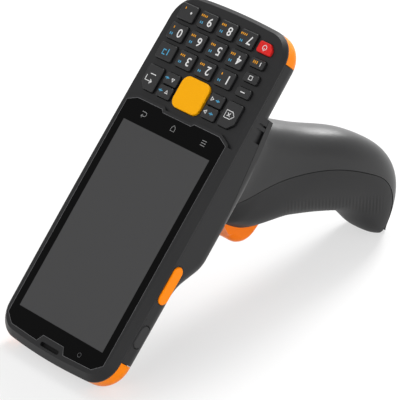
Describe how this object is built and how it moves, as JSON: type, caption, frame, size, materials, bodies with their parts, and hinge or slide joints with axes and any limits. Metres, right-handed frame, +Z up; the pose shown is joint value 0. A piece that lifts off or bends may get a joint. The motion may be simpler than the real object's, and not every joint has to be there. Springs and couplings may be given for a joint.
{
  "type": "portable barcode data terminal",
  "caption": "Hand-held barcode data terminal with touch screen, keypad, side scan keys and a curved pistol grip with trigger, standing on its head end and butt.",
  "frame": {"origin": "centre of the bounding box on the floor that the head end and the butt stand on", "axes": "+Z up; +X across the terminal towards its left side; +Y from the head end on the floor towards the grip's butt"},
  "size_m": [0.0702, 0.1884, 0.1234],
  "materials": {
    "case_plastic": "fine satin texture",
    "grip_plastic": "satin",
    "key_plastic": "satin",
    "amber_plastic": "satin",
    "red_plastic": "satin",
    "orange_plastic": "satin",
    "front_glass": "polished cover glass, black printed behind",
    "screen": "switched off",
    "lens": "polished",
    "scan_glass": "polished red filter",
    "steel": "plain",
    "circuit_board": "green",
    "battery_wrap": "film",
    "mat_rubber": "matt",
    "black_plastic": "matt",
    "contact_brass": "gold plated"
  },
  "bodies": {
    "terminal": {"battery_pack": "battery_wrap", "bumper_head_left": "orange_plastic", "bumper_head_right": "orange_plastic", "bumper_tail_left": "orange_plastic", "bumper_tail_right": "orange_plastic", "display_module": "screen", "dock_block": "black_plastic", "dock_contacts": "contact_brass", "earpiece_mesh": "black_plastic", "front_camera": "lens", "front_housing": "case_plastic", "grip_front_shell": "grip_plastic", "grip_rear_shell": "grip_plastic", "grip_screws": "steel", "housing_screws": "steel", "keypad_board": "circuit_board", "keypad_mat": "mat_rubber", "loudspeaker": "black_plastic", "main_board": "circuit_board", "midframe": "steel", "rear_housing": "case_plastic", "saddle_plate": "steel", "saddle_screws": "steel", "scan_engine": "black_plastic", "scan_window": "scan_glass", "shield_cans": "steel", "touch_glass": "front_glass", "trigger_pin": "steel", "trigger_spring": "steel", "trigger_switch": "black_plastic"},
    "key_0_cap": {"key_0": "key_plastic"},
    "key_1_cap": {"key_1": "key_plastic"},
    "key_2_cap": {"key_2": "key_plastic"},
    "key_3_cap": {"key_3": "key_plastic"},
    "key_4_cap": {"key_4": "key_plastic"},
    "key_5_cap": {"key_5": "key_plastic"},
    "key_6_cap": {"key_6": "key_plastic"},
    "key_7_cap": {"key_7": "key_plastic"},
    "key_8_cap": {"key_8": "key_plastic"},
    "key_9_cap": {"key_9": "key_plastic"},
    "key_case_cap": {"key_case": "key_plastic"},
    "key_delete_cap": {"key_delete": "key_plastic"},
    "key_dot_cap": {"key_dot": "key_plastic"},
    "key_down_cap": {"key_down": "key_plastic"},
    "key_enter_cap": {"key_enter": "key_plastic"},
    "key_fn_cap": {"key_fn": "key_plastic"},
    "key_left_cap": {"key_left": "key_plastic"},
    "key_power_cap": {"key_power": "red_plastic"},
    "key_program_one_cap": {"key_program_one": "key_plastic"},
    "key_program_two_cap": {"key_program_two": "key_plastic"},
    "key_right_cap": {"key_right": "key_plastic"},
    "key_scan_cap": {"key_scan": "amber_plastic"},
    "key_up_cap": {"key_up": "key_plastic"},
    "side_key_left_cap": {"side_key_left": "orange_plastic"},
    "side_key_right_cap": {"side_key_right": "orange_plastic"},
    "side_button_cap": {"side_button": "key_plastic"},
    "trigger_lever": {"trigger": "orange_plastic"}
  },
  "joints": [
    {"name": "key_0_press", "type": "slide", "parent": "terminal", "child": "key_0_cap", "axis": [0, 0.7501, -0.6613], "range_m": [0, 0.0004], "stiffness_N_per_m": 250, "springref_m": -0.0006},
    {"name": "key_1_press", "type": "slide", "parent": "terminal", "child": "key_1_cap", "axis": [0, 0.7501, -0.6613], "range_m": [0, 0.0004], "stiffness_N_per_m": 250, "springref_m": -0.0006},
    {"name": "key_2_press", "type": "slide", "parent": "terminal", "child": "key_2_cap", "axis": [0, 0.7501, -0.6613], "range_m": [0, 0.0004], "stiffness_N_per_m": 250, "springref_m": -0.0006},
    {"name": "key_3_press", "type": "slide", "parent": "terminal", "child": "key_3_cap", "axis": [0, 0.7501, -0.6613], "range_m": [0, 0.0004], "stiffness_N_per_m": 250, "springref_m": -0.0006},
    {"name": "key_4_press", "type": "slide", "parent": "terminal", "child": "key_4_cap", "axis": [0, 0.7501, -0.6613], "range_m": [0, 0.0004], "stiffness_N_per_m": 250, "springref_m": -0.0006},
    {"name": "key_5_press", "type": "slide", "parent": "terminal", "child": "key_5_cap", "axis": [0, 0.7501, -0.6613], "range_m": [0, 0.0004], "stiffness_N_per_m": 250, "springref_m": -0.0006},
    {"name": "key_6_press", "type": "slide", "parent": "terminal", "child": "key_6_cap", "axis": [0, 0.7501, -0.6613], "range_m": [0, 0.0004], "stiffness_N_per_m": 250, "springref_m": -0.0006},
    {"name": "key_7_press", "type": "slide", "parent": "terminal", "child": "key_7_cap", "axis": [0, 0.7501, -0.6613], "range_m": [0, 0.0004], "stiffness_N_per_m": 250, "springref_m": -0.0006},
    {"name": "key_8_press", "type": "slide", "parent": "terminal", "child": "key_8_cap", "axis": [0, 0.7501, -0.6613], "range_m": [0, 0.0004], "stiffness_N_per_m": 250, "springref_m": -0.0006},
    {"name": "key_9_press", "type": "slide", "parent": "terminal", "child": "key_9_cap", "axis": [0, 0.7501, -0.6613], "range_m": [0, 0.0004], "stiffness_N_per_m": 250, "springref_m": -0.0006},
    {"name": "key_case_press", "type": "slide", "parent": "terminal", "child": "key_case_cap", "axis": [0, 0.7501, -0.6613], "range_m": [0, 0.0004], "stiffness_N_per_m": 250, "springref_m": -0.0006},
    {"name": "key_delete_press", "type": "slide", "parent": "terminal", "child": "key_delete_cap", "axis": [0, 0.7501, -0.6613], "range_m": [0, 0.0004], "stiffness_N_per_m": 250, "springref_m": -0.0006},
    {"name": "key_dot_press", "type": "slide", "parent": "terminal", "child": "key_dot_cap", "axis": [0, 0.7501, -0.6613], "range_m": [0, 0.0004], "stiffness_N_per_m": 250, "springref_m": -0.0006},
    {"name": "key_down_press", "type": "slide", "parent": "terminal", "child": "key_down_cap", "axis": [0, 0.7501, -0.6613], "range_m": [0, 0.0004], "stiffness_N_per_m": 250, "springref_m": -0.0006},
    {"name": "key_enter_press", "type": "slide", "parent": "terminal", "child": "key_enter_cap", "axis": [0, 0.7501, -0.6613], "range_m": [0, 0.0004], "stiffness_N_per_m": 250, "springref_m": -0.0006},
    {"name": "key_fn_press", "type": "slide", "parent": "terminal", "child": "key_fn_cap", "axis": [0, 0.7501, -0.6613], "range_m": [0, 0.0004], "stiffness_N_per_m": 250, "springref_m": -0.0006},
    {"name": "key_left_press", "type": "slide", "parent": "terminal", "child": "key_left_cap", "axis": [0, 0.7501, -0.6613], "range_m": [0, 0.0004], "stiffness_N_per_m": 250, "springref_m": -0.0006},
    {"name": "key_power_press", "type": "slide", "parent": "terminal", "child": "key_power_cap", "axis": [0, 0.7501, -0.6613], "range_m": [0, 0.0004], "stiffness_N_per_m": 250, "springref_m": -0.0006},
    {"name": "key_program_one_press", "type": "slide", "parent": "terminal", "child": "key_program_one_cap", "axis": [0, 0.7501, -0.6613], "range_m": [0, 0.0004], "stiffness_N_per_m": 250, "springref_m": -0.0006},
    {"name": "key_program_two_press", "type": "slide", "parent": "terminal", "child": "key_program_two_cap", "axis": [0, 0.7501, -0.6613], "range_m": [0, 0.0004], "stiffness_N_per_m": 250, "springref_m": -0.0006},
    {"name": "key_right_press", "type": "slide", "parent": "terminal", "child": "key_right_cap", "axis": [0, 0.7501, -0.6613], "range_m": [0, 0.0004], "stiffness_N_per_m": 250, "springref_m": -0.0006},
    {"name": "key_scan_press", "type": "slide", "parent": "terminal", "child": "key_scan_cap", "axis": [0, 0.7501, -0.6613], "range_m": [0, 0.0004], "stiffness_N_per_m": 250, "springref_m": -0.0006},
    {"name": "key_up_press", "type": "slide", "parent": "terminal", "child": "key_up_cap", "axis": [0, 0.7501, -0.6613], "range_m": [0, 0.0004], "stiffness_N_per_m": 250, "springref_m": -0.0006},
    {"name": "side_key_left_press", "type": "slide", "parent": "terminal", "child": "side_key_left_cap", "axis": [-1, 0, 0], "range_m": [0, 0.0006], "stiffness_N_per_m": 300, "springref_m": -0.0006},
    {"name": "side_key_right_press", "type": "slide", "parent": "terminal", "child": "side_key_right_cap", "axis": [1, 0, 0], "range_m": [0, 0.0006], "stiffness_N_per_m": 300, "springref_m": -0.0006},
    {"name": "side_button_press", "type": "slide", "parent": "terminal", "child": "side_button_cap", "axis": [-1, 0, 0], "range_m": [0, 0.0006], "stiffness_N_per_m": 300, "springref_m": -0.0006},
    {"name": "trigger_pull", "type": "hinge", "parent": "terminal", "child": "trigger_lever", "pos_m": [0, -0.01094, 0.05576], "axis": [1, 0, 0], "range_deg": [0, 8], "stiffness_Nm_per_rad": 0.06, "springref_deg": -14.32}
  ]
}
